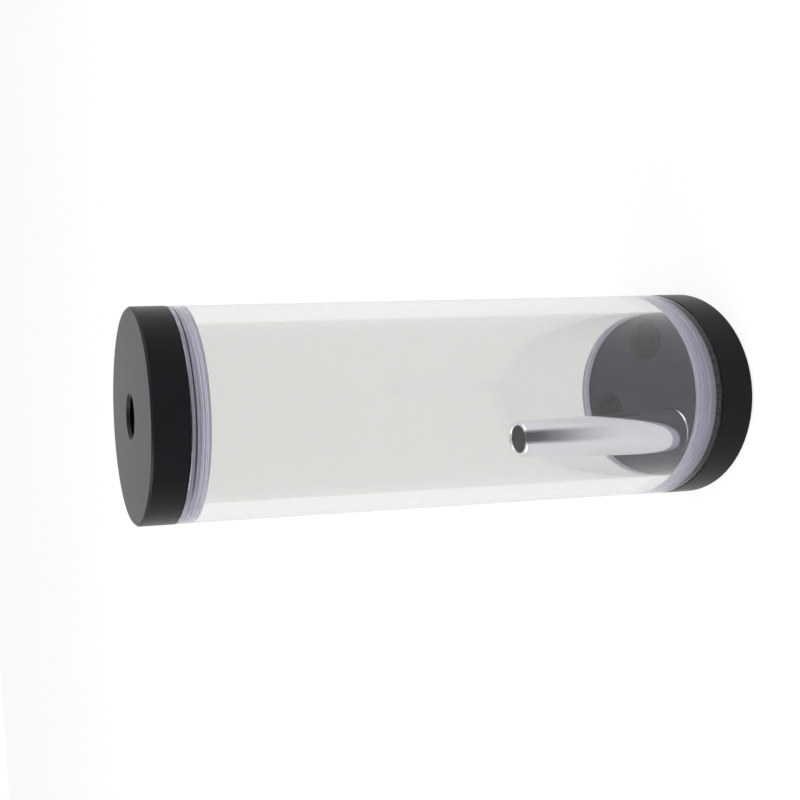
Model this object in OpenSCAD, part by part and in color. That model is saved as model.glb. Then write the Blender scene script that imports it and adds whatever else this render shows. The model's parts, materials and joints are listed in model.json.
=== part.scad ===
// Cylindrical coolant reservoir: a clear tube closed by two screw-in caps, with
// G1/4 ports and a tapered riser pipe screwed into one port of the base cap.
// It stands on its base cap; the origin is the centre of that cap's outer face.
// Screw threads are drawn as plain cylinders: each hole at the radius its mate needs.

/* [Tube] */
// Outside diameter of the clear tube and of both caps
tube_d = 60; // [60:1:80]
// Wall thickness of the clear tube
tube_wall = 5; // [4.5:0.5:5.5]
// Length of the clear tube, between the two caps
tube_len = 150; // [100:5:250]
// Bevel on the tube's outer end edges
tube_bevel = 0.3; // [0.1:0.1:0.6]

/* [Cap thread in the tube ends] */
// Depth of the thread, crest to root
thread_depth = 0.5; // [0.3:0.1:0.7]
// Length of the threaded zone, from the tube's end face
thread_zone = 6; // [5.5:0.5:10]
// Radial step from the thread's root out to the seal seat at the tube's mouth
seat_step = 0.4; // [0.3:0.1:0.8]

/* [Caps] */
// Thickness of a cap's outer flange
cap_t = 10; // [8:0.5:16]
// Length of the threaded plug behind the flange
plug_len = 3.8; // [3.4:0.2:5]
// Bevel round the flange's outer face
rim_bevel = 0.6; // [0.2:0.1:1.2]
// Bevel round the flange's edge beside the tube
joint_bevel = 0.4; // [0.1:0.1:0.8]
// Bevel on the plug's leading edge
plug_bevel = 0.3; // [0.1:0.1:0.5]

/* [Seal rings] */
// Section diameter of the rubber ring on each plug's neck
ring_section = 1.6; // [1.2:0.1:1.8]

/* [Ports] */
// Wall diameter of a tapped G1/4 port
port_d = 11.8; // [11.4:0.1:12]
// Diameter of the countersunk mouth at both ends of a port
port_mouth_d = 13.2; // [13:0.1:14]
// Number of ports in the base cap
port_count = 3; // [1:1:4]
// Web left between a port's mouth and the seal's neck on the base cap
port_web = 1.4; // [1:0.1:2.4]

/* [Riser pipe] */
// Height of the pipe's tip above the base cap's plug
riser_len = 49; // [30:1:80]
// Outside diameter at the pipe's foot
riser_foot_d = 12.2; // [11.4:0.1:12.4]
// Outside diameter at the pipe's tip
riser_tip_d = 9.8; // [9.4:0.1:11]
// Bore of the pipe
riser_bore_d = 7.2; // [6:0.1:7.4]
// Radius of the rounded lip at the tip
lip_r = 0.5; // [0.2:0.05:0.6]
// Length of the pipe's threaded spigot inside the port
spigot_len = 5; // [3:0.5:6]
// Diameter of the thread's root in the seat that takes the spigot
seat_root_d = 13.16; // [12.6:0.02:13.2]

/* [Fits] */
// Radial clearance between a turning or screwed piece and its seat
fit_gap = 0.05; // [0.02:0.01:0.1]

/* [Hidden] */
$fn = 96;
eps = 0.01;

tube_r = tube_d / 2;
bore_r = tube_r - tube_wall;
root_r = bore_r + thread_depth;
seat_r = root_r + seat_step;

// The ring fills the seat; the plug's neck carries it beside the flange.
ring_r = ring_section / 2;
ring_mid_r = seat_r - fit_gap - ring_r;
neck_r = ring_mid_r - ring_r - fit_gap;
neck_len = ring_section + 2 * fit_gap;
plug_r = root_r - fit_gap;

base_face_z = cap_t;
plug_top_z = cap_t + plug_len;
tube_top_z = base_face_z + tube_len;
total_h = tube_top_z + cap_t;

port_r = port_d / 2;
mouth_r = port_mouth_d / 2;
mouth_t = mouth_r - port_r;
port_circle_r = neck_r - port_web - mouth_r;
// Bearing of the port that carries the riser: the reservoir's front, on -Y.
riser_bearing = -90;

// The spigot stands on the step between its seat and the rest of the port.
seat_root_r = seat_root_d / 2;
seat_z = plug_top_z - spigot_len;
spigot_r = seat_root_r - fit_gap;
foot_r = riser_foot_d / 2;
tip_r = riser_tip_d / 2;
pipe_bore_r = riser_bore_d / 2;
tip_z = plug_top_z + riser_len;

// Turns a profile of [radius, height] points about the reservoir's axis.
module turned(points) {
    rotate_extrude() polygon(points);
}

// A through port along Z, from z = 0 to the given length, countersunk at both ends.
module port(length) {
    turned([
        [0, -eps], [mouth_r + eps, -eps], [port_r, mouth_t],
        [port_r, length - mouth_t], [mouth_r + eps, length + eps], [0, length + eps]
    ]);
}

// Places a child at the given port of the base cap's circle.
module at_port(index) {
    rotate(riser_bearing + index * 360 / port_count)
        translate([port_circle_r, 0, 0])
            children();
}

// A cap without ports, standing on its outer face with the plug on top.
module cap_blank() {
    turned([
        [0, 0],
        [tube_r - rim_bevel, 0],
        [tube_r, rim_bevel],
        [tube_r, cap_t - joint_bevel],
        [tube_r - joint_bevel, cap_t],
        [neck_r, cap_t],
        [neck_r, cap_t + neck_len],
        [plug_r, cap_t + neck_len],
        [plug_r, plug_top_z - plug_bevel],
        [plug_r - plug_bevel, plug_top_z],
        [0, plug_top_z]
    ]);
}

// A seal ring on the neck of a cap that stands on its outer face.
module seal_ring() {
    translate([0, 0, cap_t + fit_gap + ring_r])
        rotate_extrude()
            translate([ring_mid_r, 0])
                circle(r = ring_r);
}

// Turns a piece of the base cap over onto the top end of the tube.
module at_top() {
    translate([0, 0, total_h])
        mirror([0, 0, 1])
            children();
}

// One end of the tube's bore: the smooth seal seat, then the thread's root.
module tube_mouth() {
    turned([
        [0, -eps], [seat_r, -eps], [seat_r, neck_len],
        [root_r, neck_len], [root_r, thread_zone],
        [bore_r, thread_zone + thread_depth], [0, thread_zone + thread_depth]
    ]);
}

module tube() {
    color([0.82, 0.85, 0.84, 0.35])
        translate([0, 0, base_face_z])
            difference() {
                turned([
                    [bore_r, 0],
                    [tube_r - tube_bevel, 0],
                    [tube_r, tube_bevel],
                    [tube_r, tube_len - tube_bevel],
                    [tube_r - tube_bevel, tube_len],
                    [bore_r, tube_len]
                ]);
                tube_mouth();
                translate([0, 0, tube_len]) mirror([0, 0, 1]) tube_mouth();
            }
}

module base_cap() {
    color([0.07, 0.07, 0.08])
        difference() {
            cap_blank();
            for (index = [0 : port_count - 1]) at_port(index) port(plug_top_z);
            at_port(0) translate([0, 0, seat_z]) cylinder(r = seat_root_r, h = spigot_len + eps);
        }
}

module top_cap() {
    color([0.07, 0.07, 0.08])
        at_top()
            difference() {
                cap_blank();
                port(plug_top_z);
            }
}

module base_o_ring() {
    color([0.02, 0.02, 0.02]) seal_ring();
}

module top_o_ring() {
    color([0.02, 0.02, 0.02]) at_top() seal_ring();
}

// The pipe's wall above the straight taper: a flat rim between two rounded edges.
module lip_section() {
    for (mid_r = [pipe_bore_r + lip_r, tip_r - lip_r])
        translate([mid_r, tip_z - lip_r]) circle(r = lip_r);
    translate([pipe_bore_r + lip_r, tip_z - 2 * lip_r])
        square([tip_r - pipe_bore_r - 2 * lip_r, 2 * lip_r]);
}

module riser_pipe() {
    color([0.80, 0.80, 0.84])
        at_port(0)
            rotate_extrude() {
                polygon([
                    [pipe_bore_r, seat_z],
                    [spigot_r, seat_z],
                    [spigot_r, plug_top_z - (spigot_r - foot_r)],
                    [foot_r, plug_top_z],
                    [tip_r, tip_z - lip_r],
                    [pipe_bore_r, tip_z - lip_r]
                ]);
                lip_section();
            }
}

tube();
base_cap();
top_cap();
base_o_ring();
top_o_ring();
riser_pipe();
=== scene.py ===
import json
import math

import bmesh
import bpy
from mathutils import Matrix, Vector

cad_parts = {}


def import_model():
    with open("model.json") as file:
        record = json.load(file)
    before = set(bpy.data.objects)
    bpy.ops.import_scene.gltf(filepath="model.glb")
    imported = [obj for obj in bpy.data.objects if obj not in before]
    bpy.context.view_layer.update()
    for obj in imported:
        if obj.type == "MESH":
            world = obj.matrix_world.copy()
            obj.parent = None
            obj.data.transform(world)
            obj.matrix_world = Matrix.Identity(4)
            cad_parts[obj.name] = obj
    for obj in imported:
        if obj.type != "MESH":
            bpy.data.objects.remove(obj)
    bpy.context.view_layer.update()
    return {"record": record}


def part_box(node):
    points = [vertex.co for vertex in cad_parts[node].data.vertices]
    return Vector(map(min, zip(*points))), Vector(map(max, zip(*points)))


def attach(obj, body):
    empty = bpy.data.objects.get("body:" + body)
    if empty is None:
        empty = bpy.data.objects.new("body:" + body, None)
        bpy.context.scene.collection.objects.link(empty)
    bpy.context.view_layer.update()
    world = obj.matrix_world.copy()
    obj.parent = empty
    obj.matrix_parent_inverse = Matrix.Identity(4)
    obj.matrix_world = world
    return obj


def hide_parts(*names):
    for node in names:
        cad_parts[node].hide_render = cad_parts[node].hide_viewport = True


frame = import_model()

MM = 0.001

# Sizes that the solids don't state by themselves.
WALL = 5 * MM
THREAD_DEPTH = 0.5 * MM
THREAD_ZONE = 6 * MM
FIT_GAP = 0.05 * MM
CAP_PITCH = 1.2 * MM
SEAL_SEAT_STEP = 0.4 * MM
PORT_PITCH = 1.337 * MM
PORT_CREST_R = 5.72 * MM
PORT_ROOT_R = 6.58 * MM
PORT_MOUTH_R = 6.6 * MM
RIM_BEVEL = 0.6 * MM
JOINT_BEVEL = 0.4 * MM
PLUG_BEVEL = 0.3 * MM
TUBE_BEVEL = 0.3 * MM
RISER_BORE_R = 3.6 * MM
RISER_TIP_R = 4.9 * MM
RISER_FOOT_R = 6.1 * MM
LIP_R = 0.5 * MM

# A thread's section over one pitch: share of the pitch, and share of the depth.
THREAD_SHAPE = ((0.0, 0.0), (0.26, 0.0), (0.5, 1.0), (0.76, 1.0))
# How far a seal ring is squeezed sideways, as a share of its section.
RING_SQUEEZE = 0.14

# Faces round a large piece, and round a port's thread.
COLUMNS = 256
PORT_COLUMNS = 96

# Colours of the clear acrylic: polished, and where a tool has cut it.
TINT = (0.800, 0.803, 0.788)
MILKY = (0.78, 0.76, 0.96)

# The riser's painted reflection, a dark band of reflected surroundings painted into its colour: the
# bearing that it faces, and its length below the tip.
PAINTED_REFLECTION_SIDE = (0.77, -0.64)
PAINTED_REFLECTION_LENGTH = 30 * MM

# Levels of the surroundings: the floor's colour as a surface that lights the object, its colour
# and its glow where it is seen directly, and the world's strength as a light; and half the
# floor's width in metres.
FLOOR_PALE = 0.8
FLOOR_SHADE = 0.20
FLOOR_GLOW = 0.84
SKY_LIGHT = 0.55
FLOOR_HALF_WIDTH = 6.0

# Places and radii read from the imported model.
tube_low, tube_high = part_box("tube")
top_low, top_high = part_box("top_cap")
ring_low, ring_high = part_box("base_o_ring")
riser_low, riser_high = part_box("riser_pipe")
tube_r = tube_high.x
bore_r = tube_r - WALL
root_r = bore_r + THREAD_DEPTH
seat_r = root_r + SEAL_SEAT_STEP
ring_d = ring_high.z - ring_low.z
neck_len = ring_d + 2 * FIT_GAP
neck_r = ring_high.x - ring_d - FIT_GAP
cap_t = tube_low.z
plug_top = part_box("base_cap")[1].z
total_h = top_high.z
riser_at = (riser_low + riser_high) / 2
mounts = {mount["name"]: mount for mount in frame["record"]["mounts"]}
base_ports = [Vector(mounts[name]["pos_m"]).xy
              for name in ("riser_port", "base_port_right", "base_port_left")]


# ---------------------------------------------------------------- surfaces of revolution

def thread_rows(z_low, z_high, crest_r, depth, pitch, turn, runout):
    """Points of a thread's section at one bearing, from z_low up to z_high.

    turn is the bearing as a share of a full turn. The groove starts at z = 0 on bearing 0, so
    every thread with one pitch lies in one helix and a screw fits its hole.
    """
    points = [(crest_r, z_low)]
    first = math.floor(z_low / pitch) - 2
    last = math.ceil(z_high / pitch) + 1
    for lead in range(first, last + 1):
        for phase, level in THREAD_SHAPE:
            z = min(max((lead + phase + turn) * pitch, z_low), z_high)
            fade = min(z - z_low, z_high - z, runout) / runout
            points.append((crest_r + depth * level * fade, z))
    points.append((crest_r, z_high))
    return points


def arc(centre_r, centre_z, radius, start, end, steps=6):
    """Points of an arc in the section plane, from start to end degrees."""
    angles = [math.radians(start + (end - start) * i / steps) for i in range(steps + 1)]
    return [(centre_r + radius * math.cos(a), centre_z + radius * math.sin(a)) for a in angles]


def revolve(name, section, closed, columns=COLUMNS, centre=(0.0, 0.0)):
    """Turns a section about a vertical axis; section(turn) gives its points at one bearing.

    A closed section makes a ring-shaped body. An open one is shut by a flat face at each end.
    """
    mesh = bmesh.new()
    grid = []
    for column in range(columns + 1):
        turn = column / columns
        angle = 2 * math.pi * turn
        grid.append([
            mesh.verts.new((centre[0] + r * math.cos(angle), centre[1] + r * math.sin(angle), z))
            for r, z in section(turn)])
    rows = len(grid[0])
    for left, right in zip(grid, grid[1:]):
        for row in range(rows if closed else rows - 1):
            above = (row + 1) % rows
            mesh.faces.new((left[row], right[row], right[above], left[above]))
    bmesh.ops.remove_doubles(mesh, verts=mesh.verts, dist=1e-7)
    bmesh.ops.dissolve_degenerate(mesh, edges=mesh.edges, dist=1e-7)
    if not closed:
        bmesh.ops.holes_fill(mesh, edges=[e for e in mesh.edges if e.is_boundary], sides=0)
    bmesh.ops.recalc_face_normals(mesh, faces=mesh.faces)
    data = bpy.data.meshes.new(name)
    mesh.to_mesh(data)
    mesh.free()
    piece = bpy.data.objects.new(name, data)
    bpy.context.scene.collection.objects.link(piece)
    return piece


def smooth(piece, sharp_angle=30):
    """Smooth shading that stops at the edges sharper than the given angle."""
    piece.data.shade_smooth()
    piece.data.set_sharp_from_angle(angle=math.radians(sharp_angle))


def cut(piece, cutters):
    """Subtracts the cutters from a piece and deletes them."""
    for cutter in cutters:
        step = piece.modifiers.new("cut", "BOOLEAN")
        step.operation = "DIFFERENCE"
        step.solver = "EXACT"
        step.object = cutter
    bpy.context.view_layer.update()
    shown = piece.evaluated_get(bpy.context.evaluated_depsgraph_get())
    data = bpy.data.meshes.new_from_object(shown)
    piece.modifiers.clear()
    piece.data = data
    for cutter in cutters:
        bpy.data.objects.remove(cutter)


# ---------------------------------------------------------------- pieces

def tube():
    """The clear tube: a plain wall with a seal seat and a thread inside each end."""
    low, high = tube_low.z, tube_high.z

    def section(turn):
        mouth = [(seat_r, low), (seat_r, low + neck_len)]
        thread = thread_rows(low + neck_len, low + THREAD_ZONE, bore_r, THREAD_DEPTH,
                             CAP_PITCH, turn, CAP_PITCH / 2)
        top_thread = thread_rows(high - THREAD_ZONE, high - neck_len, bore_r, THREAD_DEPTH,
                                 CAP_PITCH, turn, CAP_PITCH / 2)
        top_mouth = [(seat_r, high - neck_len), (seat_r, high)]
        outside = [(tube_r - TUBE_BEVEL, high), (tube_r, high - TUBE_BEVEL),
                   (tube_r, low + TUBE_BEVEL), (tube_r - TUBE_BEVEL, low)]
        return mouth + thread + top_thread + top_mouth + outside

    piece = revolve("clear_tube", section, closed=True)
    smooth(piece)
    return piece


def cap(name, flip):
    """A cap's blank, standing on its outer face, or turned over onto the tube's top end."""
    def height(z):
        return total_h - z if flip else z

    def section(turn):
        flange = [(tube_r - RIM_BEVEL, 0), (tube_r, RIM_BEVEL),
                  (tube_r, cap_t - JOINT_BEVEL), (tube_r - JOINT_BEVEL, cap_t),
                  (neck_r, cap_t), (neck_r, cap_t + neck_len)]
        ends = sorted((height(cap_t + neck_len), height(plug_top - PLUG_BEVEL)))
        thread = thread_rows(ends[0], ends[1], bore_r - FIT_GAP, THREAD_DEPTH, CAP_PITCH, turn,
                             CAP_PITCH / 3)
        if flip:
            thread.reverse()
        points = [(r, height(z)) for r, z in flange] + thread
        return points + [(bore_r - FIT_GAP - PLUG_BEVEL, height(plug_top))]

    return revolve(name, section, closed=False)


def port_cutter(at, low, high):
    """The tapped hole of a port between two faces, with a countersunk mouth at each."""
    spare = 0.5 * MM
    slope = PORT_MOUTH_R - PORT_CREST_R

    def section(turn):
        thread = thread_rows(low + slope, high - slope, PORT_CREST_R,
                             PORT_ROOT_R - PORT_CREST_R, PORT_PITCH, turn, PORT_PITCH / 3)
        return ([(PORT_MOUTH_R + spare, low - spare)] + thread
                + [(PORT_MOUTH_R + spare, high + spare)])

    return revolve("cutter", section, closed=False, columns=PORT_COLUMNS, centre=at)


def base_cap():
    piece = cap("base_cap_body", flip=False)
    cut(piece, [port_cutter(at, 0, plug_top) for at in base_ports])
    smooth(piece)
    return piece


def top_cap():
    piece = cap("top_cap_body", flip=True)
    cut(piece, [port_cutter((0, 0), top_low.z, total_h)])
    smooth(piece)
    return piece


def seal_ring(name, low, high):
    """A rubber ring lightly squeezed in its seat."""
    middle_z = (low.z + high.z) / 2
    half = (high.z - low.z) / 2
    middle_r = high.x - half
    steps = 24

    def section(turn):
        points = []
        for step in range(steps):
            angle = 2 * math.pi * step / steps
            side, lift = math.cos(angle), math.sin(angle)
            squeeze = 1 - RING_SQUEEZE * (1 - abs(lift))
            points.append((middle_r + half * side * squeeze, middle_z + half * lift))
        return points

    piece = revolve(name, section, closed=True)
    smooth(piece, 60)
    return piece


def riser_pipe():
    """The tapered riser: threaded spigot, straight taper and a rounded lip."""
    low, tip = riser_low.z, riser_high.z
    foot_bevel = 0.3 * MM

    def section(turn):
        spigot = thread_rows(low + foot_bevel, plug_top - 2 * foot_bevel,
                             PORT_CREST_R - FIT_GAP, PORT_ROOT_R - PORT_CREST_R,
                             PORT_PITCH, turn, PORT_PITCH / 3)
        outer_lip = arc(RISER_TIP_R - LIP_R, tip - LIP_R, LIP_R, 0, 90)
        inner_lip = arc(RISER_BORE_R + LIP_R, tip - LIP_R, LIP_R, 90, 180)
        return ([(RISER_BORE_R + foot_bevel, low), (PORT_CREST_R - FIT_GAP, low)] + spigot
                + [(RISER_FOOT_R, plug_top)] + outer_lip + inner_lip
                + [(RISER_BORE_R, low + foot_bevel)])

    piece = revolve("riser_tube", section, closed=True, columns=PORT_COLUMNS * 2,
                    centre=riser_at.xy)
    smooth(piece)
    return piece


# ---------------------------------------------------------------- materials

SOCKETS = {"ior": "IOR", "metallic": "Metallic", "roughness": "Roughness",
           "specular": "Specular IOR Level"}


def material(name, **values):
    """A material with one Principled shader, whose sockets take the given constants."""
    made = bpy.data.materials.new(name)
    made.use_nodes = True
    shader = made.node_tree.nodes["Principled BSDF"]
    for socket, value in values.items():
        shader.inputs[SOCKETS[socket]].default_value = value
    return made, shader


def node(made, kind, inputs=None, **settings):
    """A new node with its settings, and inputs that are constants or other nodes' outputs."""
    new = made.node_tree.nodes.new(kind)
    for key, value in settings.items():
        setattr(new, key, value)
    for key, value in (inputs or {}).items():
        if isinstance(value, bpy.types.NodeSocket):
            made.node_tree.links.new(value, new.inputs[key])
        else:
            new.inputs[key].default_value = value
    return new


def link(made, output, socket):
    """Joins an output to a socket of the same node tree."""
    made.node_tree.links.new(output, socket)


def from_axis(made, centre):
    """The offset from the foot of a vertical axis."""
    place = node(made, "ShaderNodeTexCoord").outputs["Object"]
    return node(made, "ShaderNodeVectorMath", {0: place, 1: (*centre, 0)},
                operation="SUBTRACT").outputs["Vector"]


def radius_and_height(made, centre=(0, 0)):
    """Distance from a vertical axis and height, as two values."""
    offset = from_axis(made, centre)
    parts = node(made, "ShaderNodeSeparateXYZ", {0: offset})
    flat = node(made, "ShaderNodeCombineXYZ", {0: parts.outputs["X"], 1: parts.outputs["Y"]})
    radius = node(made, "ShaderNodeVectorMath", {0: flat.outputs["Vector"]},
                  operation="LENGTH").outputs["Value"]
    return radius, parts.outputs["Z"]


def compute(made, operation, first, second):
    """One step of arithmetic on two values."""
    return node(made, "ShaderNodeMath", {0: first, 1: second}, operation=operation).outputs["Value"]


def lathe_lines(made, centre, lines_per_mm):
    """A value that runs in fine rings about a vertical axis, on flat faces and on rims alike."""
    radius, height = radius_and_height(made, centre)
    sweep = compute(made, "ADD", radius, height)
    return node(made, "ShaderNodeTexNoise", {"W": sweep, "Scale": lines_per_mm / MM,
                                             "Detail": 2.0, "Roughness": 0.6},
                noise_dimensions="1D").outputs["Fac"]


def specks(made, per_mm):
    """Soft random variation through the solid."""
    place = node(made, "ShaderNodeTexCoord").outputs["Object"]
    return node(made, "ShaderNodeTexNoise", {"Vector": place, "Scale": per_mm / MM,
                                             "Detail": 3.0}).outputs["Fac"]


def spread(made, value, low, high):
    """A 0 to 1 value spread between two numbers."""
    return node(made, "ShaderNodeMapRange", {"Value": value, "From Min": 0.3, "From Max": 0.7,
                                             "To Min": low, "To Max": high}).outputs["Result"]


def blend_colours(made, value, first, second):
    """A colour between two others, each a triple or another node's output."""
    ends = {6 + i: (*end, 1) if isinstance(end, tuple) else end
            for i, end in enumerate((first, second))}
    return node(made, "ShaderNodeMix", {0: value, **ends}, data_type="RGBA").outputs[2]


def between(made, value, first, second):
    """A number between two others, each a constant or another node's output."""
    return node(made, "ShaderNodeMix", {0: value, 2: first, 3: second}).outputs[0]


def bump(made, shader, value, height_mm):
    step = node(made, "ShaderNodeBump", {"Height": value, "Strength": 1.0,
                                         "Distance": height_mm * MM})
    link(made, step.outputs["Normal"], shader.inputs["Normal"])


def black_acetal():
    """Turned black acetal: satin, with fine lathe lines, and a painted reflection that makes the
    face inside the tube paler and bluer.
    """
    made, shader = material("black_acetal", ior=1.48, specular=0.12)
    lines = lathe_lines(made, (0, 0), 5.0)
    cloud = specks(made, 0.15)
    outside = blend_colours(made, cloud, (0.0035, 0.0045, 0.0058), (0.007, 0.0085, 0.011))
    # Painted reflection: the faces inside the tube take a paler, bluer colour than the outside,
    # with the lathe lines running through it.
    painted_reflection_face = blend_colours(made, lines, (0.014, 0.021, 0.050), (0.022, 0.029, 0.062))
    height = radius_and_height(made)[1]
    above_plug = compute(made, "GREATER_THAN", height, plug_top - 0.1 * MM)
    below_top = compute(made, "LESS_THAN", height, total_h - plug_top + 0.1 * MM)
    inside = compute(made, "MULTIPLY", above_plug, below_top)
    link(made, blend_colours(made, inside, outside, painted_reflection_face), shader.inputs["Base Color"])
    link(made, spread(made, lines, 0.30, 0.40), shader.inputs["Roughness"])
    bump(made, shader, lines, 0.001)
    return made


def seal_rubber():
    """Matt black nitrile rubber."""
    made, shader = material("seal_rubber", ior=1.5)
    grain = specks(made, 4.0)
    link(made, blend_colours(made, grain, (0.008, 0.008, 0.008), (0.016, 0.016, 0.016)),
         shader.inputs["Base Color"])
    link(made, spread(made, grain, 0.5, 0.7), shader.inputs["Roughness"])
    bump(made, shader, grain, 0.01)
    return made


def polished_aluminium():
    """Bright polished aluminium: faint turning lines, and a painted reflection, a dark band of
    reflected surroundings that fades downwards.
    """
    made, shader = material("polished_aluminium", metallic=1.0)
    lines = lathe_lines(made, riser_at.xy, 4.0)
    cloud = specks(made, 0.3)
    bright = blend_colours(made, cloud, (0.88, 0.86, 0.95), (0.93, 0.91, 0.98))
    towards = node(made, "ShaderNodeVectorMath",
                   {0: from_axis(made, riser_at.xy), 1: (*PAINTED_REFLECTION_SIDE, 0)},
                   operation="DOT_PRODUCT").outputs["Value"]
    radius, height = radius_and_height(made, riser_at.xy)
    facing = compute(made, "DIVIDE", towards, radius)
    core = node(made, "ShaderNodeMapRange", {"Value": facing, "From Min": 0.90, "From Max": 0.99},
                interpolation_type="SMOOTHSTEP").outputs["Result"]
    fade = node(made, "ShaderNodeMapRange", {
        "Value": height, "From Min": riser_high.z - PAINTED_REFLECTION_LENGTH, "From Max": riser_high.z},
        interpolation_type="SMOOTHSTEP").outputs["Result"]
    painted_reflection_mask = compute(made, "MULTIPLY", core, fade)
    # The dark colour here is a painted reflection, blended over the bright metal along the front of
    # the riser below its tip.
    link(made, blend_colours(made, painted_reflection_mask, bright, (0.035, 0.03, 0.05)),
         shader.inputs["Base Color"])
    link(made, spread(made, lines, 0.06, 0.12), shader.inputs["Roughness"])
    bump(made, shader, lines, 0.0005)
    return made


def clear_acrylic():
    """Clear polished acrylic, faintly grey-green, milky on the cut faces of its two mouths."""
    made, shader = material("clear_acrylic", ior=1.49)
    cloud = specks(made, 0.05)
    clear = blend_colours(made, cloud, TINT, tuple(1.01 * part for part in TINT))
    haze = spread(made, specks(made, 0.4), 0.0, 0.012)
    radius, height = radius_and_height(made)
    middle = (tube_low.z + tube_high.z) / 2
    from_middle = compute(made, "ABSOLUTE", compute(made, "SUBTRACT", height, middle), 0.0)
    plain_half = (tube_high.z - tube_low.z) / 2 - THREAD_ZONE
    at_end = compute(made, "GREATER_THAN", from_middle, plain_half)
    within = compute(made, "LESS_THAN", radius, tube_r - WALL / 4)
    cut_face = compute(made, "MULTIPLY", at_end, within)
    link(made, blend_colours(made, cut_face, clear, MILKY), shader.inputs["Base Color"])
    link(made, between(made, cut_face, haze, 0.36), shader.inputs["Roughness"])
    link(made, between(made, cut_face, 1.0, 0.35), shader.inputs["Transmission Weight"])
    return made


# ---------------------------------------------------------------- assembly

ACETAL = black_acetal()
RUBBER = seal_rubber()
ALUMINIUM = polished_aluminium()
ACRYLIC = clear_acrylic()

PIECES = (
    (tube(), "tube", "tube", "clear_acrylic", ACRYLIC),
    (base_cap(), "base_cap", "base", "black_acetal", ACETAL),
    (top_cap(), "top_cap", "top", "black_acetal", ACETAL),
    (seal_ring("base_seal_ring", *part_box("base_o_ring")), "base_o_ring", "base", "seal_rubber",
     RUBBER),
    (seal_ring("top_seal_ring", *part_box("top_o_ring")), "top_o_ring", "top", "seal_rubber",
     RUBBER),
    (riser_pipe(), "riser_pipe", "riser", "polished_aluminium", ALUMINIUM),
)
for piece, cad_node, body, slot, finish in PIECES:
    piece.data.materials.clear()
    piece.data.materials.append(finish)
    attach(piece, body)
    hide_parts(cad_node)


# ---------------------------------------------------------------- camera

CAMERA_AT = Vector((172.6, -199.0, 215.5)) * MM
CAMERA_AZIMUTH = 40.0
CAMERA_DOWN = 11.0
CAMERA_ROLL = -92.3
LENS = 43.97
SHIFT = 0.3125

camera = bpy.data.objects.new("camera", bpy.data.cameras.new("camera"))
camera.data.lens = LENS
camera.data.sensor_width = 36
camera.data.shift_x = SHIFT
camera.data.clip_start = 0.01
azimuth = math.radians(CAMERA_AZIMUTH)
down = math.radians(CAMERA_DOWN)
back = Vector((math.sin(azimuth) * math.cos(down), -math.cos(azimuth) * math.cos(down),
               math.sin(down)))
level = back.to_track_quat("Z", "Y").to_matrix()
turned = level @ Matrix.Rotation(math.radians(CAMERA_ROLL), 3, "Z")
camera.matrix_world = Matrix.Translation(CAMERA_AT) @ turned.to_4x4()
bpy.context.scene.collection.objects.link(camera)
bpy.context.scene.camera = camera


# ---------------------------------------------------------------- floor, world and lamps

def seen_directly(made):
    """1 for the rays that show the background: to the camera, a mirror or through glass."""
    rays = node(made, "ShaderNodeLightPath").outputs
    mirror = compute(made, "MAXIMUM", rays["Is Camera Ray"], rays["Is Glossy Ray"])
    return compute(made, "MAXIMUM", mirror, rays["Is Transmission Ray"])


def floor():
    """A wide pale floor that shows white and keeps the object's shadow."""
    half = FLOOR_HALF_WIDTH
    data = bpy.data.meshes.new("floor")
    data.from_pydata([(-half, -half, 0), (half, -half, 0), (half, half, 0), (-half, half, 0)],
                     [], [(0, 1, 2, 3)])
    ground = bpy.data.objects.new("floor", data)
    bpy.context.scene.collection.objects.link(ground)
    made, shader = material("floor", roughness=0.9, specular=0.0)
    shader.inputs["Emission Color"].default_value = (1, 1, 1, 1)
    seen = seen_directly(made)
    link(made, blend_colours(made, seen, (FLOOR_PALE,) * 3, (FLOOR_SHADE,) * 3),
         shader.inputs["Base Color"])
    link(made, compute(made, "MULTIPLY", seen, FLOOR_GLOW), shader.inputs["Emission Strength"])
    ground.data.materials.append(made)


def world():
    """Even pale light, with a plain white background behind it."""
    sky = bpy.data.worlds.new("studio")
    bpy.context.scene.world = sky
    sky.use_nodes = True
    background = sky.node_tree.nodes["Background"]
    background.inputs["Color"].default_value = (1, 1, 1, 1)
    level = node(sky, "ShaderNodeMapRange", {"Value": seen_directly(sky), "To Min": SKY_LIGHT,
                                             "To Max": 1.0}).outputs["Result"]
    link(sky, level, background.inputs["Strength"])


def soft_lamp(name, at, size, power):
    """A square area lamp that faces the middle of the object."""
    data = bpy.data.lights.new(name, "AREA")
    data.size = size
    data.energy = power
    lamp = bpy.data.objects.new(name, data)
    lamp.location = at
    aim = Vector((0, 0, total_h / 2)) - lamp.location
    lamp.rotation_euler = aim.to_track_quat("-Z", "Y").to_euler()
    bpy.context.scene.collection.objects.link(lamp)


floor()
world()
soft_lamp("key", (-0.7, -0.7, 1.3), 0.9, 14)
soft_lamp("fill", (0.9, 0.6, 1.0), 1.2, 8)

scene = bpy.context.scene
scene.view_settings.view_transform = "Standard"
